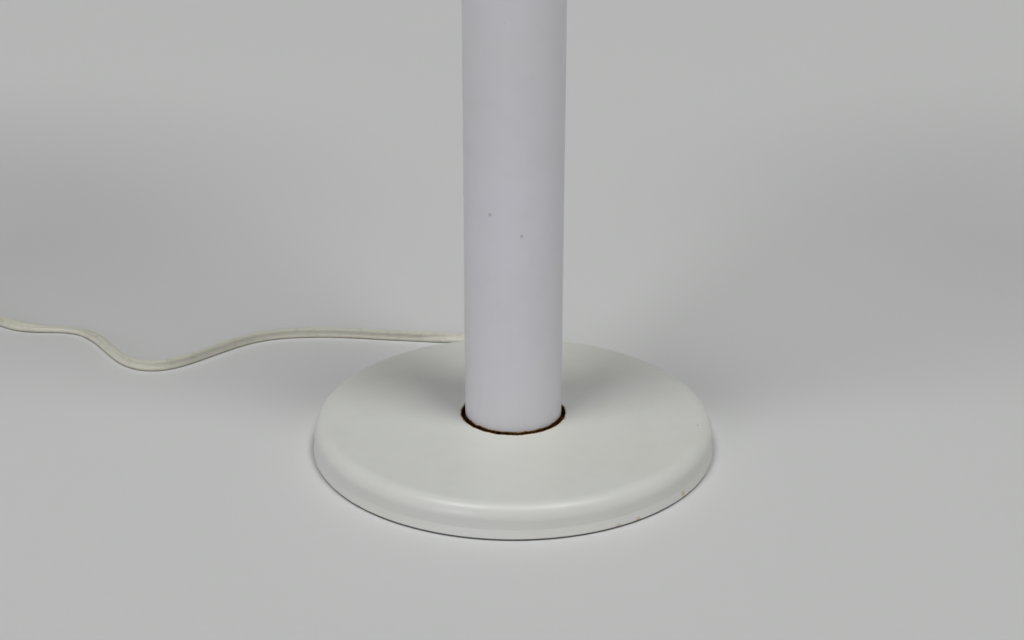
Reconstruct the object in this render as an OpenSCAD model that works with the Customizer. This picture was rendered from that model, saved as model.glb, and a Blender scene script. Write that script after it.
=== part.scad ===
// Torchiere floor lamp: enamelled disc base, straight column, uplight bowl, turn switch and flat cord.
// Millimetres. The column's axis is x = y = 0, Z is up, the floor is z = 0 and the switch faces -Y.

/* [Base] */
// Widest diameter of the base, across its lip
base_d = 250; // [240:1:260]
// Height of the flat top of the base above the floor
base_h = 20.7; // [20:0.1:24]
// Radius of the rounded edge between the top and the side
edge_r = 8.6; // [7:0.1:9]
// Sheet thickness of the base cover
cover_t = 1.2; // [1:0.1:1.5]
// Height at which the lip starts to flare
lip_h = 6.4; // [5.5:0.1:7]
// How far the lip stands out beyond the side
lip_flare = 0.9; // [0.4:0.1:1.2]
// Gap between the column and the hole in the cover
foot_gap = 2.6; // [1.5:0.1:3]
// Gap between the cast weight and the start of the rounded edge
weight_gap = 3.5; // [2:0.5:8]
// Thickness of the felt pad under the base
pad_t = 2; // [1.5:0.1:2.2]

/* [Column] */
// Outer diameter of the column
column_d = 60; // [58:0.5:63]
// Wall of the column tube
column_t = 1; // [0.8:0.1:1.5]
// Height of the column's top end above the floor
column_top = 1630; // [1500:5:1700]

/* [Bowl] */
// Outer diameter of the bowl at its rim
bowl_d = 356; // [320:2:400]
// Depth of the bowl from its seat to the rim
bowl_depth = 132; // [125:1:145]
// Sheet thickness of the bowl
bowl_t = 1.2; // [1:0.1:1.5]
// Radius of the flat seat at the bottom of the bowl
seat_r = 38; // [32:1:44]
// Radius of the rolled bead round the rim
bead_r = 2.5; // [2:0.1:3]
// Height of the neck between the column cap and the bowl
neck_h = 16; // [12:1:24]

/* [Switch] */
// Height of the turn switch above the floor
switch_z = 1150; // [1000:5:1300]
// Diameter of the knob
knob_d = 30; // [26:1:34]
// Length of the knob
knob_len = 14; // [12:1:18]

/* [Bulb] */
// Diameter of the bulb
bulb_d = 60; // [50:1:64]
// Height of the glass above its screw cap
glass_h = 82; // [78:1:84]

/* [Cord] */
// Width of the flat cord
cord_w = 7.4; // [7:0.1:7.4]
// Thickness of the flat cord
cord_t = 3.4; // [3.2:0.1:3.6]
// Radius at the middle of the coil's turns
coil_r = 43.8; // [42:0.1:45]
// Spread of the coil's turns, from the middle of the first to the middle of the last
coil_spread = 16.4; // [14:0.1:18]

/* [Hidden] */
ROUND = 96;
SIX = 6;
gap = 0.05;
drill_gap = 0.3;
head_gap = 0.5;
wall_cut = 12;

// base
lip_r = base_d / 2;
side_r = lip_r - lip_flare;
lip_z = 0.8;
under_cover = base_h - cover_t;
weight_r = side_r - edge_r - weight_gap;
pocket_gap = 0.4;
pad_r = lip_r - 6;
pocket_depth = 4;
foot_z = under_cover - pocket_depth;
foot_hole_r = column_d / 2 + foot_gap;
cable_hole_r = 6;
channel_w = 10;
channel_top = 9.6;

// fixings of the cover and the column foot
stud_pitch_r = 78;
stud_r = 2;
stud_bottom = 3;
stud_recess_r = 6;
stud_recess_top = 7;
stud_nut = [3.8, 3.2, 4.04];
screw_pitch_r = 18;
screw_r = 3;
screw_head = [2.4, 6, 5];
screw_top = 25;
plug_h = 12;

// column and bowl
column_r = column_d / 2;
bore_r = column_r - column_t;
cap_h = 4;
cap_spigot = 18;
bowl_z = column_top + cap_h + neck_h;
neck_r = 22;
stem_r = 6.5;
stem_bore_r = 4.3;
stem_bottom = column_top - cap_spigot - 8;
nut_af = 19;
nut_r = nut_af / 2 / cos(30);
washer_r = 20;
washer_t = 1.5;
bowl_nut_h = 4;
socket_z = bowl_z + bowl_t + washer_t + bowl_nut_h;
ball_edge_r = bowl_d / 2 - bead_r;
ball_rise = bowl_depth - bead_r;
ball_z = (pow(ball_edge_r, 2) - pow(seat_r, 2) + pow(ball_rise, 2)) / (2 * ball_rise);
ball_r = sqrt(pow(seat_r, 2) + pow(ball_z, 2));

// socket and bulb, heights above socket_z
socket_r = 17.5;
socket_t = 0.6;
socket_cap_h = 12;
socket_flare_h = [3, 9];
socket_collar_t = 2;
block_r = 14.5;
block_h = [8, 17];
thread_r = 13.9;
thread_t = 0.5;
shell_top = 41;
liner_r = 16.2;
contact_r = 4;
contact_h = 1.5;
bulb_cap_r = 13.1;
bulb_tip = [[4, 0], [9, 4]];
bulb_tip_h = 6;
bulb_cap_h = [18.6, 42];
glass_neck = [[12.5, 0], [13.5, 8]];
neck_meets = 22;

// switch, from the face of the column
switch_half = 13;
switch_y = [6 - column_r, 34 - column_r];
bushing_r = 4.8;
bushing_y = [-column_r - 4, switch_y[0]];
switch_washer_r = 8.8;
switch_washer_y = [-column_r - 1, -column_r - 0.1];
switch_nut_y = [-column_r - 3.5, switch_washer_y[0]];
switch_nut_af = 12;
shaft_r = 3;
shaft_socket = 5;
knob_back = -column_r - 4.2;
knob_front = knob_back - knob_len;
knob_skirt = [2, 3];
shaft_y = [knob_back - 10.8, switch_y[0] + shaft_socket - 0.5];
pointer_turn = 210;
pointer_w = 1.6;
pointer_depth = 0.8;
pointer_from = 4;

// cord exit in the rear of the base
exit_z = 6.6;
grommet_r = 4.6;
collar_r = 6;
inner_collar_y = [side_r - 3.7, side_r - 1.9];
outer_collar_y = [lip_r + 0.1, lip_r + 1.4];
grommet_y = [side_r - 8.1, outer_collar_y[1]];
relief_y = lip_r + 4.2;
relief_angle = 38;
relief_len = 20;
relief_r = [5, 4.2];
lead_bend_r = 8;

// The cord is laid out behind a base of this radius, and moves with the rear of a larger or smaller one
laid_out_r = 125;
cord_shift = lip_r - laid_out_r;

// Middle line of the free cord: x, y, z and how far the flat section leans back from standing on edge
cord_route = [
    [-12, 145, 6.6, 90], [-19, 151, 5.6, 85], [-28, 155.5, 4.2, 75], [-37, 158, 3.2, 60],
    [-47, 158.8, 3.4, 35], [-58, 159, 3.7, 12], [-69, 160, 3.7, 0], [-92, 162.5, 3.7, 0],
    [-115, 165.5, 3.7, 0], [-138, 167, 3.7, 0], [-161, 165, 3.7, 0], [-178, 160, 3.7, 0],
    [-193, 150.5, 3.7, 0], [-208, 136, 3.7, 0], [-221, 122.5, 3.7, 0], [-232, 113, 3.7, 5],
    [-243, 108.2, 3.7, 10], [-254, 108.4, 3.6, 15], [-265, 114, 3.6, 25], [-274, 123.5, 3.4, 35],
    [-284, 138, 3.1, 50], [-296, 156, 2.4, 75], [-309, 169.5, 1.7, 90], [-322, 175, 1.7, 90],
    [-335, 176, 1.7, 90], [-348, 176.5, 2.6, 70], [-360, 179, 3.2, 45], [-374, 187, 3.7, 20],
    [-388, 196, 3.7, 0], [-402, 204, 3.7, 0], [-415, 212, 3.7, 0]
];
// From the top of the coil to the back of the plug
tail_route = [
    [-474, 150, 9.1, 90], [-468, 139.6, 9.1, 90], [-461, 127.5, 9.1, 90], [-454, 115.4, 9.1, 90],
    [-448, 105, 8.2, 90], [-442, 94.7, 6.7, 90], [-437, 86, 6, 90]
];
coil_x = -443;
coil_y = 168;

// plug
plug_at = tail_route[len(tail_route) - 1];
plug_turn = -60;
plug_len = 28;
plug_thick = 12;
plug_side = [[0, 6], [6, 9.5], [14, 12], [plug_len, 12]];
blade = [17.5, 1.5, 6.4];
blade_pitch = 12.7;

// A straight round bar between two heights
module bar(r, z0, z1) {
    translate([0, 0, z0]) cylinder(r = r, h = z1 - z0, $fn = ROUND);
}

// A ring between two heights
module ring(outer, inner, z0, z1) {
    difference() {
        bar(outer, z0, z1);
        bar(inner, z0 - 1, z1 + 1);
    }
}

// A hexagon nut between two heights
module hex_nut(corner_r, hole_r, z0, z1) {
    difference() {
        translate([0, 0, z0]) cylinder(r = corner_r, h = z1 - z0, $fn = SIX);
        bar(hole_r, z0 - 1, z1 + 1);
    }
}

// Three copies round the axis at one radius, clear of the cord channel
module three_round(pitch_r) {
    for (k = [0 : 2])
        rotate([0, 0, 30 + 120 * k]) translate([pitch_r, 0, 0]) children();
}

// Turns a part made along Z so that its Z runs along +Y, at the switch's height
module at_switch() {
    translate([0, 0, switch_z]) rotate([-90, 0, 0]) children();
}

// Half section of the cover, drawn in from its outer skin by inset
module cover_half(inset, bottom) {
    translate([side_r - edge_r, base_h - edge_r]) circle(r = edge_r - inset, $fn = ROUND);
    square([side_r - edge_r, base_h - inset]);
    polygon([
        [0, bottom], [base_d / 2 - inset, bottom], [base_d / 2 - inset, lip_z + 1],
        [side_r - inset, lip_h], [side_r - inset, base_h - edge_r], [0, base_h - edge_r]
    ]);
}

module base_cover() color("gainsboro") difference() {
    rotate_extrude($fn = ROUND) {
        difference() {
            cover_half(0, lip_z + cover_t / 2);
            cover_half(cover_t, -1);
            square([foot_hole_r, base_h + 1]);
        }
        translate([base_d / 2 - cover_t / 2, lip_z + cover_t / 2]) circle(d = cover_t, $fn = ROUND);
    }
    translate([0, side_r - wall_cut / 2, exit_z]) rotate([-90, 0, 0])
        cylinder(r = grommet_r + gap, h = wall_cut, $fn = ROUND);
}

module base_weight() color("dimgray") difference() {
    bar(weight_r, pad_t, under_cover);
    bar(foot_hole_r + pocket_gap, foot_z, base_h);
    bar(cable_hole_r, 0, base_h);
    translate([-channel_w / 2, 0, 0]) cube([channel_w, weight_r + 1, channel_top]);
    three_round(stud_pitch_r) {
        bar(stud_r + drill_gap, 0, base_h);
        bar(stud_recess_r, 0, stud_recess_top);
    }
    three_round(screw_pitch_r) {
        bar(screw_r + drill_gap, 0, base_h);
        bar(screw_head[2] + head_gap, 0, screw_head[1]);
    }
}

module base_pad() color("darkslategray") bar(pad_r, 0, pad_t);

module cover_studs() color("silver") three_round(stud_pitch_r) bar(stud_r, stud_bottom, under_cover);

module cover_nuts() color("silver") three_round(stud_pitch_r)
    hex_nut(stud_nut[2], stud_r + gap, stud_nut[0], stud_nut[0] + stud_nut[1]);

module column() color("white") difference() {
    ring(column_r, bore_r, foot_z, column_top);
    translate([0, -column_r - wall_cut / 2, switch_z]) rotate([-90, 0, 0])
        cylinder(r = bushing_r + 2 * gap, h = wall_cut, $fn = ROUND);
}

module foot_plug() color("slategray") difference() {
    bar(bore_r - gap, foot_z, foot_z + plug_h);
    bar(cable_hole_r, 0, foot_z + plug_h + 1);
    three_round(screw_pitch_r) bar(screw_r + gap, 0, foot_z + plug_h + 1);
}

module foot_screws() color("silver") three_round(screw_pitch_r) {
    bar(screw_head[2], screw_head[0], screw_head[1]);
    bar(screw_r, screw_head[1], screw_top);
}

module column_cap() color("white") difference() {
    union() {
        bar(column_r, column_top, column_top + cap_h);
        bar(bore_r - gap, column_top - cap_spigot, column_top);
    }
    bar(stem_r + gap, column_top - cap_spigot - 1, column_top + cap_h + 1);
}

module stem() color("goldenrod") ring(stem_r, stem_bore_r, stem_bottom, socket_z + 4);

module stem_nut() color("silver")
    hex_nut(nut_r, stem_r + gap, column_top - cap_spigot - 6, column_top - cap_spigot);

module bowl_neck() color("white") difference() {
    bar(neck_r, column_top + cap_h, bowl_z);
    bar(neck_r - 3, column_top + cap_h - 1, bowl_z - 3);
    bar(stem_r + gap, column_top, bowl_z + 1);
}

module bowl() color("white") translate([0, 0, bowl_z]) rotate_extrude($fn = ROUND) {
    difference() {
        intersection() {
            translate([0, ball_z]) circle(r = ball_r, $fn = ROUND);
            square([bowl_d, ball_rise]);
        }
        translate([0, ball_z]) circle(r = ball_r - bowl_t, $fn = ROUND);
        square([seat_r - 1, bowl_t]);
    }
    translate([stem_r + gap, 0]) square([seat_r - 1 - stem_r - gap, bowl_t]);
    translate([ball_edge_r, ball_rise]) circle(r = bead_r, $fn = ROUND);
}

module bowl_washer() color("silver")
    ring(washer_r, stem_r + gap, bowl_z + bowl_t, bowl_z + bowl_t + washer_t);

module bowl_nut() color("silver") hex_nut(nut_r, stem_r + gap, socket_z - bowl_nut_h, socket_z);

module socket_cap() color("gold") translate([0, 0, socket_z]) rotate_extrude($fn = ROUND) polygon([
    [stem_r + gap, 0],
    [stem_r + socket_collar_t, 0],
    [stem_r + socket_collar_t, socket_flare_h[0]],
    [socket_r, socket_flare_h[1]],
    [socket_r, socket_cap_h],
    [socket_r - socket_t, socket_cap_h],
    [socket_r - socket_t, socket_flare_h[1] + socket_t / 2],
    [stem_r + socket_collar_t - socket_t / 2, socket_flare_h[0] + socket_t],
    [stem_r + gap, socket_flare_h[0] + socket_t]
]);

module socket_shell() color("gold")
    ring(socket_r, socket_r - socket_t, socket_z + socket_cap_h, socket_z + shell_top);

module socket_liner() color("tan")
    ring(socket_r - socket_t - gap, liner_r, socket_z + socket_cap_h, socket_z + shell_top);

module socket_block() color("black") bar(block_r, socket_z + block_h[0], socket_z + block_h[1]);

module screw_shell() color("goldenrod")
    ring(thread_r, thread_r - thread_t, socket_z + block_h[1], socket_z + shell_top - 1);

module centre_contact() color("goldenrod")
    bar(contact_r, socket_z + block_h[1], socket_z + block_h[1] + contact_h);

module bulb_cap() color("silver") translate([0, 0, socket_z + bulb_cap_h[0]]) rotate_extrude($fn = ROUND)
    polygon([
        [0, 0], bulb_tip[0], bulb_tip[1], [bulb_cap_r, bulb_tip_h],
        [bulb_cap_r, bulb_cap_h[1] - bulb_cap_h[0]], [0, bulb_cap_h[1] - bulb_cap_h[0]]
    ]);

module bulb_glass() color("ivory") translate([0, 0, socket_z + bulb_cap_h[1]]) {
    globe_r = bulb_d / 2;
    centre_h = glass_h - globe_r;
    rotate_extrude($fn = ROUND) {
        intersection() {
            translate([0, centre_h]) circle(r = globe_r, $fn = ROUND);
            square([bulb_d, glass_h]);
        }
        polygon([
            [0, 0], glass_neck[0], glass_neck[1],
            [globe_r * cos(neck_meets), centre_h - globe_r * sin(neck_meets)], [0, centre_h]
        ]);
    }
}

module switch_body() color("dimgray") difference() {
    translate([-switch_half, switch_y[0], switch_z - switch_half])
        cube([2 * switch_half, switch_y[1] - switch_y[0], 2 * switch_half]);
    at_switch() bar(shaft_r + gap, switch_y[0] - 1, switch_y[0] + shaft_socket);
}

module switch_bushing() color("silver")
    at_switch() ring(bushing_r, shaft_r + gap, bushing_y[0], bushing_y[1]);

module switch_washer() color("silver")
    at_switch() ring(switch_washer_r, bushing_r + gap, switch_washer_y[0], switch_washer_y[1]);

module switch_nut() color("silver") at_switch()
    hex_nut(switch_nut_af / 2 / cos(30), bushing_r + gap, switch_nut_y[0], switch_nut_y[1]);

module switch_shaft() color("silver") at_switch() bar(shaft_r, shaft_y[0], shaft_y[1]);

module knob() color("white") difference() {
    at_switch() union() {
        bar(knob_d / 2, knob_back - knob_skirt[1], knob_back);
        bar(knob_d / 2 - knob_skirt[0], knob_front, knob_back - knob_skirt[1]);
    }
    at_switch() bar(shaft_r, shaft_y[0], knob_back + 1);
    translate([0, 0, switch_z]) rotate([0, pointer_turn, 0])
        translate([-pointer_w / 2, knob_front - 1, pointer_from])
            cube([pointer_w, 1 + pointer_depth, knob_d / 2]);
}

// Flat lead inside the lamp: along the channel in the weight, round a bend and up the column
module lower_lead() color("ivory") {
    translate([-cord_w / 2, lead_bend_r, exit_z - cord_t / 2])
        cube([cord_w, grommet_y[0] - lead_bend_r, cord_t]);
    translate([0, lead_bend_r, exit_z + lead_bend_r]) rotate([0, 90, 0]) rotate([0, 0, -90])
        rotate_extrude(angle = 90, $fn = ROUND)
            translate([lead_bend_r - cord_t / 2, -cord_w / 2]) square([cord_t, cord_w]);
    translate([-cord_w / 2, -cord_t / 2, exit_z + lead_bend_r])
        cube([cord_w, cord_t, switch_z - switch_half - exit_z - lead_bend_r]);
}

module upper_lead() color("ivory")
    translate([-cord_w / 2, -cord_t / 2, switch_z + switch_half])
        cube([cord_w, cord_t, socket_z + block_h[0] - switch_z - switch_half]);

// Moulded grommet through the rear of the cover, with a tapered strain relief turned to one side
module cord_grommet() color("ivory") {
    translate([0, 0, exit_z]) rotate([-90, 0, 0]) {
        bar(grommet_r, grommet_y[0], grommet_y[1]);
        bar(collar_r, inner_collar_y[0], inner_collar_y[1]);
        bar(collar_r, outer_collar_y[0], outer_collar_y[1]);
        bar(relief_r[0], outer_collar_y[1], relief_y);
    }
    translate([0, relief_y, exit_z]) sphere(r = relief_r[0], $fn = ROUND);
    translate([0, relief_y, exit_z]) rotate([0, 0, relief_angle]) rotate([-90, 0, 0])
        cylinder(r1 = relief_r[0], r2 = relief_r[1], h = relief_len, $fn = ROUND);
}

// Direction of a route at point k, in plan
function heading(route, k) =
    let (
        a = route[max(k - 1, 0)],
        b = route[min(k + 1, len(route) - 1)],
        d = [b[0] - a[0], b[1] - a[1]]
    )
    d / norm(d);

// The ten corners of the flat section at point k, with the lean of that point
function section_ring(route, k) =
    let (
        p = route[k],
        h = heading(route, k),
        side = [-h[1], h[0], 0],
        wide = [0, 0, 1] * cos(p[3]) - side * sin(p[3]),
        thin = side * cos(p[3]) + [0, 0, 1] * sin(p[3]),
        half = (cord_w - cord_t) / 2
    )
    [
        for (end = [1, -1], a = [-72 : 36 : 72])
            [p[0], p[1], p[2]] + end * (wide * (half + cord_t / 2 * cos(a)) + thin * cord_t / 2 * sin(a))
    ];

// A closed tube of the flat cord along a route
module flat_tube(route) {
    sides = 10;
    last = len(route) - 1;
    polyhedron(
        points = [for (k = [0 : last]) each section_ring(route, k)],
        faces = concat(
            [[for (s = [sides - 1 : -1 : 0]) s]],
            [
                for (k = [0 : last - 1], s = [0 : sides - 1], half = [0, 1])
                    let (a = k * sides + s, b = k * sides + (s + 1) % sides)
                    half == 0 ? [a, b + sides, a + sides] : [a, b, b + sides]
            ],
            [[for (s = [0 : sides - 1]) last * sides + s]]
        )
    );
}

// Moves the loose cord with the rear of the base
module behind_base() {
    translate([0, cord_shift, 0]) children();
}

module cord() color("ivory") behind_base() flat_tube(cord_route);

module cord_tail() color("ivory") behind_base() flat_tube(tail_route);

module cord_coil() color("ivory") behind_base() translate([coil_x, coil_y, 0]) {
    reach = (coil_spread + cord_t) / 2;
    ring(coil_r + reach, coil_r - reach, 0, cord_w);
}

// Places a part at the back of the plug, with +X towards its blades
module at_plug() {
    behind_base() translate([plug_at[0], plug_at[1], 0]) rotate([0, 0, plug_turn]) children();
}

module plug_body() color("ivory") at_plug() linear_extrude(plug_thick) polygon(concat(
    plug_side,
    [for (k = [len(plug_side) - 1 : -1 : 0]) [plug_side[k][0], -plug_side[k][1]]]
));

module plug_blades() color("gold") at_plug()
    for (side = [-1, 1])
        translate([plug_len, side * blade_pitch / 2 - blade[1] / 2, plug_thick / 2 - blade[2] / 2])
            cube(blade);

base_cover();
base_weight();
base_pad();
cover_studs();
cover_nuts();
column();
foot_plug();
foot_screws();
column_cap();
stem();
stem_nut();
bowl_neck();
bowl();
bowl_washer();
bowl_nut();
socket_cap();
socket_shell();
socket_liner();
socket_block();
screw_shell();
centre_contact();
bulb_cap();
bulb_glass();
switch_body();
switch_bushing();
switch_washer();
switch_nut();
switch_shaft();
knob();
lower_lead();
upper_lead();
cord_grommet();
cord();
cord_coil();
cord_tail();
plug_body();
plug_blades();
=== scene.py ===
import math

import bmesh
import bpy
from mathutils import Matrix, Vector


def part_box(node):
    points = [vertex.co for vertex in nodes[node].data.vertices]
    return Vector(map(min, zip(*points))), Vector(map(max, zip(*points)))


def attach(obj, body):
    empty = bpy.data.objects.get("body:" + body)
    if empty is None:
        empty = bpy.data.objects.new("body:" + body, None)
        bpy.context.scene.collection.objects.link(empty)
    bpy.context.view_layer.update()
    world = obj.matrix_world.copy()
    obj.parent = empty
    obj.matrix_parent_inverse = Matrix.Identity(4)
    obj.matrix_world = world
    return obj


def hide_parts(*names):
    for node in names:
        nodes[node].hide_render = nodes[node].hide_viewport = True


# Looks of the torchiere floor lamp. Metres: the column's axis is x = y = 0, Z is up, the floor is z = 0.

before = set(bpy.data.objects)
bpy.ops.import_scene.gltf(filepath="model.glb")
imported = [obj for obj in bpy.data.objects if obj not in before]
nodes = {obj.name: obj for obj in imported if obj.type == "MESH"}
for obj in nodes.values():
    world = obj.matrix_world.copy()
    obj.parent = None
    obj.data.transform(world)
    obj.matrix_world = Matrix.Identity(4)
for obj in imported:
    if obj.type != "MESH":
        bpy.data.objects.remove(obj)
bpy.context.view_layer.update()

# Camera
CAMERA_AT = (0, -0.9817, 0.4915)
CAMERA_LENS = 61.11
CAMERA_DOWN = 22.594
CAMERA_PAN = 0.054
CAMERA_ROLL = 0.132

# Middle line of the free cord: x, y, z and how many degrees the flat section leans back from on edge
CORD_ROUTE = [
    (-0.012, 0.145, 0.0066, 90), (-0.019, 0.151, 0.0056, 85), (-0.028, 0.1555, 0.0042, 75),
    (-0.037, 0.158, 0.0032, 60), (-0.047, 0.1588, 0.0034, 35), (-0.058, 0.159, 0.0037, 12),
    (-0.069, 0.16, 0.0037, 0), (-0.092, 0.1625, 0.0037, 0), (-0.115, 0.1655, 0.0037, 0),
    (-0.138, 0.167, 0.0037, 0), (-0.161, 0.165, 0.0037, 0), (-0.178, 0.16, 0.0037, 0),
    (-0.193, 0.1505, 0.0037, 0), (-0.208, 0.136, 0.0037, 0), (-0.221, 0.1225, 0.0037, 0),
    (-0.232, 0.113, 0.0037, 5), (-0.243, 0.1082, 0.0037, 10), (-0.254, 0.1084, 0.0036, 15),
    (-0.265, 0.114, 0.0036, 25), (-0.274, 0.1235, 0.0034, 35), (-0.284, 0.138, 0.0031, 50),
    (-0.296, 0.156, 0.0024, 75), (-0.309, 0.1695, 0.0017, 90), (-0.322, 0.175, 0.0017, 90),
    (-0.335, 0.176, 0.0017, 90), (-0.348, 0.1765, 0.0026, 70), (-0.36, 0.179, 0.0032, 45),
    (-0.374, 0.187, 0.0037, 20), (-0.388, 0.196, 0.0037, 0), (-0.402, 0.204, 0.0037, 0),
    (-0.415, 0.212, 0.0037, 0),
]
# From the top of the coil to the back of the plug
TAIL_ROUTE = [
    (-0.474, 0.15, 0.0091, 90), (-0.468, 0.1396, 0.0091, 90), (-0.461, 0.1275, 0.0091, 90),
    (-0.454, 0.1154, 0.0091, 90), (-0.448, 0.105, 0.0082, 90), (-0.442, 0.0947, 0.0067, 90),
    (-0.437, 0.086, 0.006, 90),
]
ROUTE_STEPS = 4
CORD_W = 0.0074
CORD_T = 0.0034
CORD_WEB = 0.0011
CORD_RIBS = 26
LOBE_POINTS = 9
LOBE_SWEEP = 118

# Coil of the cord: wound inwards. The last degrees of its sweep climb first and then turn flat.
COIL_AT = (-0.443, 0.168)
COIL_OUTER = 0.052
COIL_PITCH = 0.0037
COIL_START = 58
COIL_SWEEP = 1592
COIL_STEP = 8
COIL_CLIMB = 110
CLIMB_HASTE = 1.4

# Strap round the turns of the coil: it starts and ends on their top, one layer over the other
TIE_ANGLE = 340
TIE_WIDTH = 0.01
TIE_T = 0.0009
TIE_PRESSED_T = 0.0006
TIE_FROM = 55
TIE_SWEEP = 430
TIE_LIFTS = (330, 360)
TIE_FLAT_PART = 0.96
TIE_STEPS = 120

# Strain relief, from the rear of the base to its tip
EXIT_Z = 0.0066
RELIEF_START = 0.1251
RELIEF_BEND_FROM = 0.0022
RELIEF_BEND_LENGTH = 0.0065
RELIEF_ANGLE = 38
RELIEF_LENGTH = 0.0238
RELIEF_ROOT = 0.005
# Half width and half height of the tip
RELIEF_TIP = (0.0043, 0.0028)
RELIEF_STEPS = 96
COLLAR_LENGTH = 0.0013
COLLAR_R = 0.006
COLLAR_ROUNDING = 0.0004
RIBS = 6
RIB_DEPTH = 0.0006
RIBS_FROM = 0.004
RIBS_TO = RELIEF_LENGTH - 0.0015

# Plug, from its back along +X of its own frame. The neck and the body are half width and half height.
PLUG_TURN = -60
PLUG_LENGTH = 0.028
PLUG_NECK = (0.0049, 0.003)
PLUG_HALF = (0.012, 0.006)
# Parts of the length over which its width and its height swell
PLUG_SWELLS_TO = (0.6, 0.5)
PLUG_BEVEL = 0.001
PLUG_STEPS = 112
GRIP_FROM = 0.01
GRIP_TO = 0.021
GRIP_PITCH = 0.0022
NECK_RINGS_TO = 0.006
NECK_RING_PITCH = 0.002
RIDGE_DEPTH = 0.0004
# Length, thickness and height of a blade
BLADE = (0.0175, 0.0015, 0.0064)
BLADE_PITCH = 0.0127
BLADE_CHAMFER = 0.0012
BLADE_HOLE_R = 0.0016
BLADE_HOLE_AT = 0.0135
BLADE_POINTS = 32

# Knob, along -Y from its back
KNOB_FLUTES = 20
KNOB_FLUTE_DEPTH = 0.0007
KNOB_FLUTES_FROM = 0.0031
KNOB_EDGE = 0.0016
KNOB_BORE_R = 0.0031
KNOB_SKIRT = 0.002
POINTER_ANGLE = 210
POINTER_HALF = 0.0007
POINTER_START = 0.0042
POINTER_PROUD = 0.0002
POINTER_INLAY = 0.0012
POINTER_DROP = 0.006

# Wear on the enamel, in metres on the lamp
ENAMEL_ENDS_Z = 0.0213
HOLE_R = 0.0326
SCUFFS = [(-0.0138, -0.0266, 0.160), (0.0048, -0.0296, 0.148)]
BASE_SPECK = (0.1138, -0.0179, 0.0207)
LIP_SPOTS = [
    (0.072, -0.102, 0.0012), (0.0603, -0.1095, 0.0006), (0.1006, -0.0742, 0.0032),
]

# Tints of the enamel on the base and upper parts, and on the column
WHITE = (0.82, 0.823, 0.797)
# The column's tint is the same white enamel with a painted lilac cast, the colour of the cool front light
# on it
WHITE_WITH_PAINTED_LILAC_LIGHT = (0.81, 0.803, 0.862)

# Rings rolled into the brass socket
SOCKET_RING_PITCH = 0.003

# Floor and light of the studio
FLOOR_HALF = 30
FLOOR_Z = -0.0002
LIGHT_ANGLE = 18
TOP_COLOUR = (0.985, 1.0, 0.975)
FRONT_COLOUR = (0.97, 0.94, 1.0)
# Strength of the surroundings below and above the band, whose edges are the sine of their height
SKY_LOW = 0.38
SKY_HIGH = 0.03
SKY_BAND = (0.16, 0.34)
SKY_COLOUR = (0.97, 0.98, 1.0, 1)


def smoothstep(value):
    """0 up to 0, 1 from 1, and a soft step between."""
    value = min(max(value, 0), 1)
    return value * value * (3 - 2 * value)


# Materials


class Shader:
    """A material's node tree, built by short calls. A value given to a node may be another's output."""

    def __init__(self, name, roughness, metallic=0.0):
        self.material = bpy.data.materials.new(name)
        self.material.use_nodes = True
        self.tree = self.material.node_tree
        self.surface = self.tree.nodes["Principled BSDF"]
        self.set(Roughness=roughness, Metallic=metallic)
        self.place = self.add("TexCoord").outputs["Object"]
        self.normal = None

    def put(self, socket, value):
        if isinstance(value, bpy.types.NodeSocket):
            self.tree.links.new(value, socket)
        elif hasattr(socket.default_value, "__len__") and len(socket.default_value) == 4:
            socket.default_value = (*value, 1)
        else:
            socket.default_value = value

    def set(self, **values):
        for name, value in values.items():
            self.put(self.surface.inputs[name.replace("_", " ")], value)

    def add(self, kind, *values, **settings):
        node = self.tree.nodes.new("ShaderNode" + kind)
        for name, value in settings.items():
            setattr(node, name, value)
        for socket, value in zip(node.inputs, values):
            if value is not None:
                self.put(socket, value)
        return node

    def math(self, operation, *values):
        return self.add("Math", *values, operation=operation).outputs[0]

    def stretched(self, x, y, z):
        """The place on the object, stretched along each axis."""
        return self.add("VectorMath", self.place, (x, y, z), operation="MULTIPLY").outputs[0]

    def noise(self, scale, detail=3.0, place=None, roughness=0.5):
        node = self.add("TexNoise")
        for name, value in (("Vector", place or self.place), ("Scale", scale), ("Detail", detail)):
            self.put(node.inputs[name], value)
        node.inputs["Roughness"].default_value = roughness
        return node.outputs[0]

    def between(self, value, low, high, out_low=0.0, out_high=1.0):
        """Value from low to high, spread softly over out_low to out_high."""
        node = self.add("MapRange", interpolation_type="SMOOTHSTEP")
        for socket, number in zip(node.inputs, (value, low, high, out_low, out_high)):
            self.put(socket, number)
        return node.outputs[0]

    def blend(self, amount, under, over):
        node = self.add("Mix", data_type="RGBA")
        for name, value in (("Factor", amount), ("A", under), ("B", over)):
            wanted = "VALUE" if name == "Factor" else "RGBA"
            socket = next(s for s in node.inputs if s.name == name and s.type == wanted)
            self.put(socket, value)
        return next(s for s in node.outputs if s.type == "RGBA")

    def axis(self, name):
        return self.add("SeparateXYZ", self.place).outputs[name]

    def spot(self, under, centre, inner, outer, tint):
        """A ragged mark with a soft edge between two radii round a place on the lamp."""
        away = self.add("VectorMath", self.place, centre, operation="DISTANCE").outputs["Value"]
        ragged = self.math("MULTIPLY_ADD", self.math("SUBTRACT", self.noise(900, 3), 0.5), 0.0016, away)
        return self.blend(self.between(ragged, inner, outer, 0.6, 0), under, tint)

    def bump(self, height, distance):
        """Adds relief that is distance metres deep where height goes from 0 to 1."""
        node = self.add("Bump")
        node.inputs["Strength"].default_value = 1
        node.inputs["Distance"].default_value = distance
        self.put(node.inputs["Height"], height)
        if self.normal is not None:
            self.put(node.inputs["Normal"], self.normal)
        self.normal = node.outputs[0]
        self.set(Normal=self.normal)


def shade(tint, *factors):
    """The tint with each channel scaled."""
    return [channel * factor for channel, factor in zip(tint, factors)]


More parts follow.
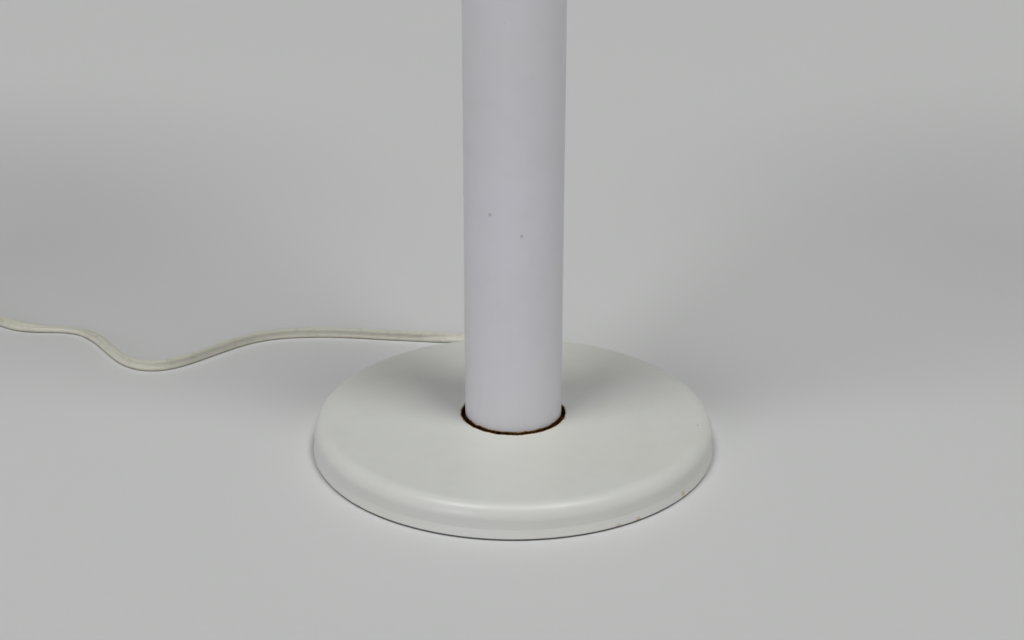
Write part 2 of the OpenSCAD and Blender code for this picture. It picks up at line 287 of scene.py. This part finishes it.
def enamel(name, tint, marks=()):
    """White stove enamel: orange peel, slight yellowing, faint dirt, dust specks and a few small marks."""
    made = Shader(name, 0.35)
    yellowed = made.between(made.noise(9, 2), 0.3, 0.8, 0, 0.5)
    colour = made.blend(yellowed, tint, shade(tint, 0.96, 0.95, 0.88))
    dirt = made.between(made.noise(60, 4, roughness=0.6), 0.35, 0.9, 0, 0.09)
    colour = made.blend(dirt, colour, shade(tint, 0.6, 0.58, 0.52))
    specks = made.between(made.noise(650, 2), 0.77, 0.82, 0, 0.5)
    colour = made.blend(specks, colour, (0.32, 0.29, 0.24))
    for mark in marks:
        colour = made.spot(colour, mark, 0.0004, 0.0014, (0.45, 0.43, 0.42))
    made.set(Roughness=made.between(made.noise(26, 4), 0.3, 0.7, 0.3, 0.4))
    made.bump(made.noise(420, 2), 0.000008)
    made.bump(made.noise(22, 1), 0.00004)
    return made, colour


def rust_colour(made):
    """Dark brown rust with orange patches."""
    patches = made.noise(500, 4, roughness=0.7)
    return made.blend(made.between(patches, 0.42, 0.64), (0.008, 0.004, 0.003), (0.2, 0.075, 0.014))


def base_enamel():
    """Enamel of the base, rusted round the hole and chipped in places along the lip."""
    made, colour = enamel("base_enamel", WHITE)
    flat = made.add("VectorMath", made.place, (1, 1, 0), operation="MULTIPLY").outputs[0]
    radius = made.add("VectorMath", flat, operation="LENGTH").outputs["Value"]
    uneven = made.math("SUBTRACT", made.noise(150, 5, roughness=0.7), 0.5)
    ragged = made.math("MULTIPLY_ADD", uneven, -0.0044, radius)
    stain = made.between(ragged, HOLE_R - 0.0002, HOLE_R + 0.0014, 0.85, 0)
    colour = made.blend(stain, colour, (0.5, 0.36, 0.14))
    edge = made.between(ragged, HOLE_R - 0.0006, HOLE_R + 0.0002, 1, 0)
    colour = made.blend(edge, colour, rust_colour(made))
    low = made.between(made.axis("Z"), 0.0008, 0.0024, 0.6, 0)
    chips = made.between(made.noise(110, 3), 0.62, 0.7)
    colour = made.blend(made.math("MULTIPLY", low, chips), colour, (0.5, 0.38, 0.2))
    colour = made.spot(colour, BASE_SPECK, 0.0004, 0.0008, (0.12, 0.1, 0.09))
    for spot in LIP_SPOTS:
        colour = made.spot(colour, spot, 0.0008, 0.0028, (0.55, 0.43, 0.2))
    made.set(Base_Color=colour)
    return made.material


def column_enamel():
    """Enamel of the column, which ends in a chipped and rusty edge just above the base."""
    # The column's tint carries a painted lilac cast of the cool front light
    made, colour = enamel("column_enamel", WHITE_WITH_PAINTED_LILAC_LIGHT, SCUFFS)
    ragged = made.math("SUBTRACT", made.noise(170, 5, roughness=0.7), 0.5)
    height = made.math("MULTIPLY_ADD", ragged, 0.0034, made.axis("Z"))
    edge = made.between(height, ENAMEL_ENDS_Z, ENAMEL_ENDS_Z + 0.0007, 1, 0)
    colour = made.blend(edge, colour, (0.5, 0.31, 0.09))
    bare = made.between(height, ENAMEL_ENDS_Z - 0.0004, ENAMEL_ENDS_Z + 0.0002, 1, 0)
    colour = made.blend(bare, colour, rust_colour(made))
    made.set(Base_Color=colour)
    made.bump(made.noise(1, 1, made.stretched(60, 60, 2)), 0.00003)
    return made.material


def plain_enamel():
    """Enamel of the parts above the switch."""
    made, colour = enamel("enamel", WHITE)
    made.set(Base_Color=colour)
    return made.material


def cast_iron():
    """Raw casting, dark and rusty."""
    made = Shader("cast_iron", 0.8, 0.2)
    made.set(Base_Color=rust_colour(made))
    made.bump(made.noise(600, 5, roughness=0.7), 0.0004)
    return made.material


def felt(name, deep, tip):
    """Pressed felt or a napped strap, with painted shade that darkens it in the low places between the
    tuft tops.
    """
    made = Shader(name, 0.95)
    tufts_and_painted_shade = made.noise(900, 6, roughness=0.8)
    # Painted shade: the colour goes to the deep tint where the relief of the tuft tops is low
    made.set(Base_Color=made.blend(tufts_and_painted_shade, deep, tip))
    made.bump(tufts_and_painted_shade, 0.0008)
    return made.material


def metal(name, clean, tarnished, roughness, grain=(40, 40, 400)):
    """Drawn or plated metal with a fine grain and patches of tarnish."""
    made = Shader(name, roughness, 1.0)
    patches = made.between(made.noise(180, 5, roughness=0.65), 0.42, 0.7)
    made.set(Base_Color=made.blend(patches, clean, tarnished))
    streaks = made.noise(6, 3, made.stretched(*grain))
    made.set(Roughness=made.between(streaks, 0.3, 0.7, roughness * 0.8, roughness * 1.4))
    made.bump(streaks, 0.00003)
    return made.material


def rolled_brass():
    """Brass of the socket, with rings rolled into its shell."""
    made = Shader("rolled_brass", 0.38, 1.0)
    patches = made.between(made.noise(160, 5, roughness=0.65), 0.4, 0.7)
    made.set(Base_Color=made.blend(patches, (0.72, 0.51, 0.22), (0.56, 0.38, 0.15)))
    made.set(Roughness=made.between(made.noise(90, 4), 0.3, 0.7, 0.3, 0.46))
    wave = made.math("SINE", made.math("MULTIPLY", made.axis("Z"), 2 * math.pi / SOCKET_RING_PITCH))
    made.bump(made.math("MULTIPLY_ADD", wave, 0.5, 0.5), 0.0003)
    return made.material


def moulded(name, tint, roughness, dirt=0.3, grain=0.00004):
    """Moulded plastic or rubber, a little dirty, with a fine grain."""
    made = Shader(name, roughness)
    spots = made.between(made.noise(240, 5, roughness=0.7), 0.5, 0.78, 0, dirt)
    aged = made.blend(made.noise(35, 3), tint, shade(tint, 0.97, 0.94, 0.84))
    made.set(Base_Color=made.blend(spots, aged, shade(tint, 0.45, 0.45, 0.45)))
    made.set(Roughness=made.between(made.noise(60, 4), 0.3, 0.7, roughness * 0.8, roughness * 1.25))
    made.bump(made.noise(1400, 3), grain)
    return made.material


def cord_sheath():
    """Cream cord sheath: fine ribs on one conductor, scuffs and grime along it."""
    made = Shader("cord_sheath", 0.42)
    grime = made.between(made.noise(150, 5, roughness=0.7), 0.48, 0.75, 0, 0.35)
    aged = made.blend(made.noise(14, 2), (0.80, 0.79, 0.70), (0.75, 0.725, 0.61))
    made.set(Base_Color=made.blend(grime, aged, (0.47, 0.42, 0.31)))
    made.set(Roughness=made.between(made.noise(80, 4), 0.3, 0.7, 0.34, 0.52))
    across = made.add("SeparateXYZ", made.add("TexCoord").outputs["UV"]).outputs["X"]
    ribs = made.math("SINE", made.math("MULTIPLY", across, 2 * math.pi * CORD_RIBS))
    one_side = made.math("LESS_THAN", across, 0.5)
    made.bump(made.math("MULTIPLY", ribs, one_side), 0.00008)
    made.bump(made.noise(1100, 3), 0.00004)
    return made.material


def opal_glass():
    """White coated bulb: a smooth skin over a cloudy coat."""
    made = Shader("opal_glass", 0.12)
    cloud = made.noise(45, 4)
    made.set(Base_Color=made.blend(cloud, (0.86, 0.86, 0.83), (0.93, 0.93, 0.91)))
    made.set(Roughness=made.between(cloud, 0.3, 0.7, 0.08, 0.18))
    made.set(Coat_Weight=0.5)
    made.bump(made.noise(300, 2), 0.00001)
    return made.material


def fibre():
    """Pressed paper liner."""
    made = Shader("fibre", 0.85)
    threads = made.noise(3, 5, made.stretched(60, 60, 700), roughness=0.75)
    made.set(Base_Color=made.blend(threads, (0.3, 0.22, 0.12), (0.52, 0.42, 0.26)))
    made.bump(threads, 0.0002)
    return made.material


def floor_paper():
    """Pale studio paper."""
    made = Shader("floor_paper", 0.9)
    made.set(Base_Color=made.blend(made.noise(3, 3), (0.74, 0.74, 0.745), (0.76, 0.76, 0.76)))
    made.bump(made.noise(500, 4), 0.0001)
    return made.material


def paint(node, material):
    """Gives a CAD node its finish."""
    for holder in nodes[node].material_slots:
        holder.material = material


# Meshes


def mesh_object(name, bm, material, body):
    """Makes the piece, gives it its finish and lets it ride on a body."""
    bmesh.ops.recalc_face_normals(bm, faces=bm.faces)
    mesh = bpy.data.meshes.new(name)
    bm.to_mesh(mesh)
    bm.free()
    mesh.materials.append(material)
    piece = bpy.data.objects.new(name, mesh)
    bpy.context.scene.collection.objects.link(piece)
    for face in mesh.polygons:
        face.use_smooth = True
    mesh.set_sharp_from_angle(angle=math.radians(40))
    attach(piece, body)
    return piece


def loft(rings, with_uv=False):
    """A closed skin over rings of equally many points, with UV round (X) and along (Y) where asked."""
    bm = bmesh.new()
    made = [[bm.verts.new(point) for point in ring] for ring in rings]
    sides = len(rings[0])
    uv = bm.loops.layers.uv.new("UVMap") if with_uv else None
    for k, (low, high) in enumerate(zip(made, made[1:])):
        for s in range(sides):
            t = (s + 1) % sides
            face = bm.faces.new((low[s], low[t], high[t], high[s]))
            if with_uv:
                corners = ((s, k), (s + 1, k), (s + 1, k + 1), (s, k + 1))
                for loop, (u, v) in zip(face.loops, corners):
                    loop[uv].uv = (u / sides, v / len(rings))
    bm.faces.new(made[0][::-1])
    bm.faces.new(made[-1])
    return bm


def superellipse(half_w, half_t, power, count=36):
    """Points of a rounded rectangle, as (across, up) pairs."""
    points = []
    for k in range(count):
        angle = 2 * math.pi * k / count
        c, s = math.cos(angle), math.sin(angle)
        across = math.copysign(abs(c) ** (2 / power), c) * half_w
        up = math.copysign(abs(s) ** (2 / power), s) * half_t
        points.append((across, up))
    return points


def smooth_route(points, steps):
    """A smooth curve through the points, with that many steps from one to the next."""
    points = [Vector(point) for point in points]
    guides = [points[0], *points, points[-1]]
    curve = []
    for a, b, c, d in zip(guides, guides[1:], guides[2:], guides[3:]):
        for k in range(steps):
            t = k / steps
            curve.append(
                b
                + 0.5 * t * (c - a)
                + 0.5 * t * t * (2 * a - 5 * b + 4 * c - d)
                + 0.5 * t * t * t * (3 * b - a - 3 * c + d)
            )
    return [*curve, points[-1]]


def coil_route():
    """The turns of the coil, from just after the last point of the cord's route."""
    points = []
    steps = COIL_SWEEP // COIL_STEP
    edge_z = CORD_ROUTE[-1][2]
    top_z = TAIL_ROUTE[0][2]
    for k in range(1, steps):
        swept = k * COIL_STEP
        angle = math.radians(COIL_START + swept)
        radius = COIL_OUTER - COIL_PITCH * swept / 360
        climbed = (swept - COIL_SWEEP + COIL_CLIMB) / COIL_CLIMB
        z = edge_z + (top_z - edge_z) * smoothstep(climbed * CLIMB_HASTE)
        lean = 90 * smoothstep((climbed - 1) * CLIMB_HASTE + 1)
        x = COIL_AT[0] + radius * math.cos(angle)
        y = COIL_AT[1] + radius * math.sin(angle)
        points.append((x, y, z, lean))
    return points


def cord_section():
    """Outline of the two joined conductors, as (across, through) pairs."""
    radius = CORD_T / 2
    centre = CORD_W / 2 - radius
    points = []
    for side in (1, -1):
        for k in range(LOBE_POINTS):
            angle = math.radians(LOBE_SWEEP * (2 * k / (LOBE_POINTS - 1) - 1))
            across = centre + radius * math.cos(angle)
            points.append((side * across, side * radius * math.sin(angle)))
        points.append((0, side * CORD_WEB))
    return points


def heading_of(route, k):
    """Direction of the route at point k."""
    before = route[max(k - 1, 0)]
    after = route[min(k + 1, len(route) - 1)]
    return (Vector(after[:3]) - Vector(before[:3])).normalized()


def build_cord():
    """The flat cord in one piece: along the floor, round the coil and on to the plug."""
    line = smooth_route([*CORD_ROUTE, *coil_route(), *TAIL_ROUTE], ROUTE_STEPS)
    section = cord_section()
    rings = []
    for k, point in enumerate(line):
        side = Vector((0, 0, 1)).cross(heading_of(line, k)).normalized()
        lean = math.radians(point[3])
        wide = Vector((0, 0, 1)) * math.cos(lean) - side * math.sin(lean)
        thin = side * math.cos(lean) + Vector((0, 0, 1)) * math.sin(lean)
        rings.append([Vector(point[:3]) + wide * w + thin * t for w, t in section])
    cord = mesh_object("flat_cord", loft(rings, with_uv=True), cord_sheath(), "lamp")
    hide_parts("cord", "cord_coil", "cord_tail")
    return cord, [tuple(point[:3]) for point in line]


def tie_ring(centre, out, half, turned, lift):
    """Section of the strap, this many degrees round the bundle and this far off it."""
    along = Vector((-out.y, out.x, 0))
    c, s = math.cos(math.radians(turned)), math.sin(math.radians(turned))
    edges = []
    for off, lowest in ((lift, TIE_PRESSED_T), (lift + TIE_T, 0)):
        across = math.copysign(math.sqrt(abs(c)), c) * (half[0] + off)
        up = math.copysign(math.sqrt(abs(s)), s) * (half[1] + off)
        edges.append(centre + out * across + Vector((0, 0, max(up + centre.z, lowest) - centre.z)))
    inner, outer = edges
    side = along * (TIE_WIDTH / 2)
    flat = side * TIE_FLAT_PART
    middle = (inner + outer) / 2
    return [inner - flat, middle - side, outer - flat, outer + flat, middle + side, inner + flat]


def build_tie(material):
    """Hook-and-loop strap that holds the turns of the coil together."""
    swept = (TIE_ANGLE - COIL_START) % 360
    more = (COIL_SWEEP - swept) // 360
    radius = COIL_OUTER - COIL_PITCH * (swept / 360 + more / 2)
    half = (COIL_PITCH * more / 2 + CORD_T / 2, CORD_W / 2)
    angle = math.radians(TIE_ANGLE)
    out = Vector((math.cos(angle), math.sin(angle), 0))
    centre = Vector((*COIL_AT, CORD_W / 2)) + out * radius
    rings = []
    for k in range(TIE_STEPS + 1):
        turned = TIE_SWEEP * k / TIE_STEPS
        lift = TIE_T * smoothstep((turned - TIE_LIFTS[0]) / (TIE_LIFTS[1] - TIE_LIFTS[0]))
        rings.append(tie_ring(centre, out, half, TIE_FROM + turned, lift))
    return mesh_object("cord_tie", loft(rings), material, "lamp")


def relief_half_sizes(along):
    """Half width and half height of the collar and strain relief, this far from the base."""
    if along < COLLAR_LENGTH:
        off_middle = abs(2 * along / COLLAR_LENGTH - 1)
        radius = COLLAR_R - COLLAR_ROUNDING * off_middle ** 3
        return radius, radius
    share = smoothstep(along / RELIEF_LENGTH)
    pull = 0
    if RIBS_FROM < along < RIBS_TO:
        turns = RIBS * (along - RIBS_FROM) / (RIBS_TO - RIBS_FROM)
        pull = RIB_DEPTH * smoothstep(0.5 - math.sin(2 * math.pi * turns))
    wide, high = (RELIEF_ROOT + (tip - RELIEF_ROOT) * share - pull for tip in RELIEF_TIP)
    return wide, high


def build_relief(material):
    """Grommet collar and tapered, ribbed strain relief, bent to the left."""
    rings = []
    at = Vector((0, RELIEF_START, EXIT_Z))
    for k in range(RELIEF_STEPS + 1):
        along = RELIEF_LENGTH * k / RELIEF_STEPS
        bend = smoothstep((along - RELIEF_BEND_FROM) / RELIEF_BEND_LENGTH)
        turned = math.radians(RELIEF_ANGLE) * bend
        ahead = Vector((-math.sin(turned), math.cos(turned), 0))
        across = Vector((ahead.y, -ahead.x, 0))
        outline = superellipse(*relief_half_sizes(along), 2.1)
        rings.append([at + across * a + Vector((0, 0, b)) for a, b in outline])
        at = at + ahead * (RELIEF_LENGTH / RELIEF_STEPS)
    relief = mesh_object("strain_relief", loft(rings), material, "lamp")
    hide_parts("cord_grommet")
    return relief


def plug_frame():
    """Turns a part made along +X into the plug's place on the floor."""
    x, y = TAIL_ROUTE[-1][:2]
    return Matrix.Translation((x, y, PLUG_HALF[1])) @ Matrix.Rotation(math.radians(PLUG_TURN), 4, "Z")


def plug_half_sizes(along):
    """Half width and half height of the plug's body, this far from its back."""
    swell = [smoothstep(along / (part * PLUG_LENGTH)) for part in PLUG_SWELLS_TO]
    wide, high = (neck + (full - neck) * s for neck, full, s in zip(PLUG_NECK, PLUG_HALF, swell))
    if GRIP_FROM < along < GRIP_TO:
        ridge = math.sin(2 * math.pi * (along - GRIP_FROM) / GRIP_PITCH)
        high -= RIDGE_DEPTH * smoothstep(0.5 + ridge)
    if along < NECK_RINGS_TO:
        ring = RIDGE_DEPTH * smoothstep(0.5 + math.sin(2 * math.pi * along / NECK_RING_PITCH))
        wide -= ring
        high -= ring
    into_bevel = max(0, (along - PLUG_LENGTH) / PLUG_BEVEL + 1)
    bevel = PLUG_BEVEL * (1 - math.sqrt(max(0, 1 - into_bevel ** 2)))
    return wide - bevel, high - bevel


def build_plug(material):
    """Moulded plug body: round neck, swelling shoulders, finger ridges and a bevelled face."""
    rings = []
    for k in range(PLUG_STEPS + 1):
        along = PLUG_LENGTH * k / PLUG_STEPS
        squareness = 2.2 + 1.8 * smoothstep(along / (PLUG_SWELLS_TO[0] * PLUG_LENGTH))
        outline = superellipse(*plug_half_sizes(along), squareness, 48)
        rings.append([plug_frame() @ Vector((along, a, b)) for a, b in outline])
    plug = mesh_object("plug_moulding", loft(rings), material, "lamp")
    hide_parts("plug_body")
    return plug


def blade_points():
    """Points on the blade's chamfered edge and on its hole, in pairs, as (along, up)."""
    length, _, height = BLADE
    ahead = length - BLADE_HOLE_AT
    pairs = []
    for k in range(BLADE_POINTS):
        angle = 2 * math.pi * k / BLADE_POINTS
        c, s = math.cos(angle), math.sin(angle)
        reach = [(ahead if c > 0 else BLADE_HOLE_AT) / max(abs(c), 1e-6)]
        reach.append(height / 2 / max(abs(s), 1e-6))
        if c > 0:
            reach.append((ahead + height / 2 - BLADE_CHAMFER) / (c + abs(s)))
        edge, hole = (Vector((BLADE_HOLE_AT + c * r, 0, s * r)) for r in (min(reach), BLADE_HOLE_R))
        pairs.append((edge, hole))
    return pairs


def build_blades(material):
    """Two flat blades with round holes and chamfered tips."""
    bm = bmesh.new()
    pairs = blade_points()
    for side in (-1, 1):
        loops = []
        for offset, which in ((-0.5, 1), (-0.5, 0), (0.5, 0), (0.5, 1)):
            shift = Vector((PLUG_LENGTH, side * BLADE_PITCH / 2 + offset * BLADE[1], 0))
            loops.append([bm.verts.new(plug_frame() @ (pair[which] + shift)) for pair in pairs])
        for low, high in zip(loops, [*loops[1:], loops[0]]):
            for k in range(BLADE_POINTS):
                n = (k + 1) % BLADE_POINTS
                bm.faces.new((low[k], low[n], high[n], high[k]))
    blades = mesh_object("plug_prongs", bm, material, "lamp")
    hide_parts("plug_blades")
    return blades


def knob_profile(skirt_r, length):
    """Radius and depth from the back, from the bore out over the skirt to the dished face."""
    body_r = skirt_r - KNOB_SKIRT
    return [
        (KNOB_BORE_R, 0.0), (skirt_r - 0.0008, 0.0), (skirt_r - 0.0002, 0.0003), (skirt_r, 0.001),
        (skirt_r, 0.0018), (skirt_r - 0.0006, 0.0026), (body_r + 0.0004, 0.003), (body_r, 0.0034),
        (body_r, 0.006), (body_r, length - 0.003), (body_r - 0.0004, length - 0.0012),
        (body_r - 0.0014, length - 0.0002), (body_r - 0.0024, length),
        (body_r - 0.0036, length - 0.0001), (body_r - 0.0046, length - 0.0008),
        (0.004, length - 0.001), (0.0004, length - 0.001),
    ]


def build_knob(material):
    """Fluted knob on a skirt, with a shallow dish in its face."""
    low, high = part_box("knob")
    centre = (low + high) / 2
    skirt_r = (high.x - low.x) / 2
    length = high.y - low.y
    sides = KNOB_FLUTES * 12
    rings = []
    for radius, depth in knob_profile(skirt_r, length):
        on_side = KNOB_FLUTES_FROM < depth < length - 0.0001 and radius > skirt_r - KNOB_SKIRT - KNOB_EDGE
        ring = []
        for s in range(sides):
            angle = 2 * math.pi * s / sides
            groove = (0.5 + 0.5 * math.cos(KNOB_FLUTES * angle)) ** 3
            r = radius - (KNOB_FLUTE_DEPTH * groove if on_side else 0)
            ring.append((centre.x + r * math.sin(angle), high.y - depth, centre.z + r * math.cos(angle)))
        rings.append(ring)
    knob = mesh_object("fluted_knob", loft(rings), material, "knob")
    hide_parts("knob")
    return knob


def build_pointer(material):
    """Inlaid pointer on the knob's face, running out over its edge."""
    low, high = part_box("knob")
    centre = Vector(((low.x + high.x) / 2, low.y, (low.z + high.z) / 2))
    angle = math.radians(POINTER_ANGLE)
    out = Vector((math.sin(angle), 0, math.cos(angle)))
    across = Vector((math.cos(angle), 0, -math.sin(angle)))
    outer = (high.x - low.x) / 2 - KNOB_SKIRT
    outline = [
        (POINTER_START, POINTER_INLAY), (POINTER_START, -POINTER_PROUD),
        (outer - 0.001, -POINTER_PROUD), (outer + 0.0003, POINTER_INLAY),
        (outer + 0.0003, POINTER_DROP), (outer - 0.001, POINTER_DROP),
    ]
    rings = []
    for side in (-1, -0.8, 0.8, 1):
        pull = POINTER_PROUD if abs(side) == 1 else 0
        ring = []
        for reach, y in outline:
            shift = out * (reach - pull) + across * side * POINTER_HALF
            ring.append(centre + shift + Vector((0, y + pull, 0)))
        rings.append(ring)
    return mesh_object("knob_pointer", loft(rings), material, "knob")


# Stage


def add_camera():
    """The photograph's viewpoint."""
    data = bpy.data.cameras.new("camera")
    data.lens = CAMERA_LENS
    camera = bpy.data.objects.new("camera", data)
    bpy.context.scene.collection.objects.link(camera)
    turn = (
        Matrix.Rotation(math.radians(CAMERA_PAN), 4, "Z")
        @ Matrix.Rotation(math.radians(90 - CAMERA_DOWN), 4, "X")
        @ Matrix.Rotation(math.radians(CAMERA_ROLL), 4, "Z")
    )
    camera.matrix_world = Matrix.Translation(CAMERA_AT) @ turn
    bpy.context.scene.camera = camera


def add_light(name, direction, strength, colour):
    """A far, soft light that shines from this direction on the whole floor alike."""
    data = bpy.data.lights.new(name, "SUN")
    data.angle = math.radians(LIGHT_ANGLE)
    data.energy = strength
    data.color = colour
    light = bpy.data.objects.new(name, data)
    light.rotation_euler = Vector(direction).to_track_quat("Z", "Y").to_euler()
    bpy.context.scene.collection.objects.link(light)


def add_floor():
    """A wide pale floor that carries the lamp."""
    bm = bmesh.new()
    corners = ((-1, -1), (1, -1), (1, 1), (-1, 1))
    bm.faces.new([bm.verts.new((x * FLOOR_HALF, y * FLOOR_HALF, FLOOR_Z)) for x, y in corners])
    mesh = bpy.data.meshes.new("floor")
    bm.to_mesh(mesh)
    bm.free()
    mesh.materials.append(floor_paper())
    floor = bpy.data.objects.new("floor", mesh)
    bpy.context.scene.collection.objects.link(floor)


def add_world():
    """Pale surroundings, dim overhead and lighter round the horizon."""
    world = bpy.data.worlds.new("studio")
    world.use_nodes = True
    tree = world.node_tree
    height = tree.nodes.new("ShaderNodeSeparateXYZ")
    tree.links.new(tree.nodes.new("ShaderNodeTexCoord").outputs["Generated"], height.inputs[0])
    above = tree.nodes.new("ShaderNodeMapRange")
    above.interpolation_type = "SMOOTHSTEP"
    for socket, value in zip(above.inputs, (0, *SKY_BAND, SKY_LOW, SKY_HIGH)):
        socket.default_value = value
    tree.links.new(height.outputs["Z"], above.inputs["Value"])
    sky = tree.nodes["Background"]
    sky.inputs["Color"].default_value = SKY_COLOUR
    tree.links.new(above.outputs[0], sky.inputs["Strength"])
    bpy.context.scene.world = world
    bpy.context.scene.view_settings.view_transform = "Standard"


add_camera()
cord, cord_line = build_cord()
fittings = moulded("fittings_vinyl", (0.78, 0.75, 0.63), 0.45)
plate_brass = metal("plate_brass", (0.74, 0.55, 0.27), (0.5, 0.36, 0.18), 0.38)
relief = build_relief(fittings)
tie = build_tie(felt("strap_fabric", (0.012, 0.012, 0.013), (0.06, 0.06, 0.063)))
plug = build_plug(fittings)
blades = build_blades(plate_brass)

knob = build_knob(moulded("knob_plastic", (0.80, 0.79, 0.74), 0.38, 0.15))
build_pointer(moulded("pointer_ink", (0.03, 0.03, 0.032), 0.4, 0.2))

zinc = metal("zinc_plate", (0.62, 0.62, 0.6), (0.42, 0.41, 0.38), 0.4)
FINISHES = [
    (base_enamel(), ["base_cover"]),
    (column_enamel(), ["column"]),
    (plain_enamel(), ["column_cap", "bowl_neck", "bowl"]),
    (cast_iron(), ["base_weight", "foot_plug"]),
    (felt("felt", (0.03, 0.04, 0.035), (0.11, 0.13, 0.115)), ["base_pad"]),
    (zinc, ["cover_studs", "cover_nuts", "foot_screws", "stem_nut", "bowl_washer", "bowl_nut"]),
    (zinc, ["switch_bushing", "switch_washer", "switch_nut", "switch_shaft"]),
    (rolled_brass(), ["socket_cap", "socket_shell", "screw_shell"]),
    (plate_brass, ["stem", "centre_contact"]),
    (fibre(), ["socket_liner"]),
    (moulded("phenolic", (0.05, 0.035, 0.028), 0.38), ["socket_block", "switch_body"]),
    (metal("cap_metal", (0.78, 0.78, 0.76), (0.6, 0.6, 0.58), 0.38), ["bulb_cap"]),
    (opal_glass(), ["bulb_glass"]),
    (moulded("lead_vinyl", (0.74, 0.71, 0.6), 0.5), ["lower_lead", "upper_lead"]),
]
for material, members in FINISHES:
    for member in members:
        paint(member, material)

add_floor()
add_world()
add_light("top_right", (0.6, -0.5, 2.1), 1.0, TOP_COLOUR)
add_light("top_left", (-0.6, -0.5, 2.1), 0.83, TOP_COLOUR)
add_light("front_left", (-0.5, -0.87, 0.27), 0.34, FRONT_COLOUR)
add_light("front_right", (0.5, -0.87, 0.27), 0.05, FRONT_COLOUR)
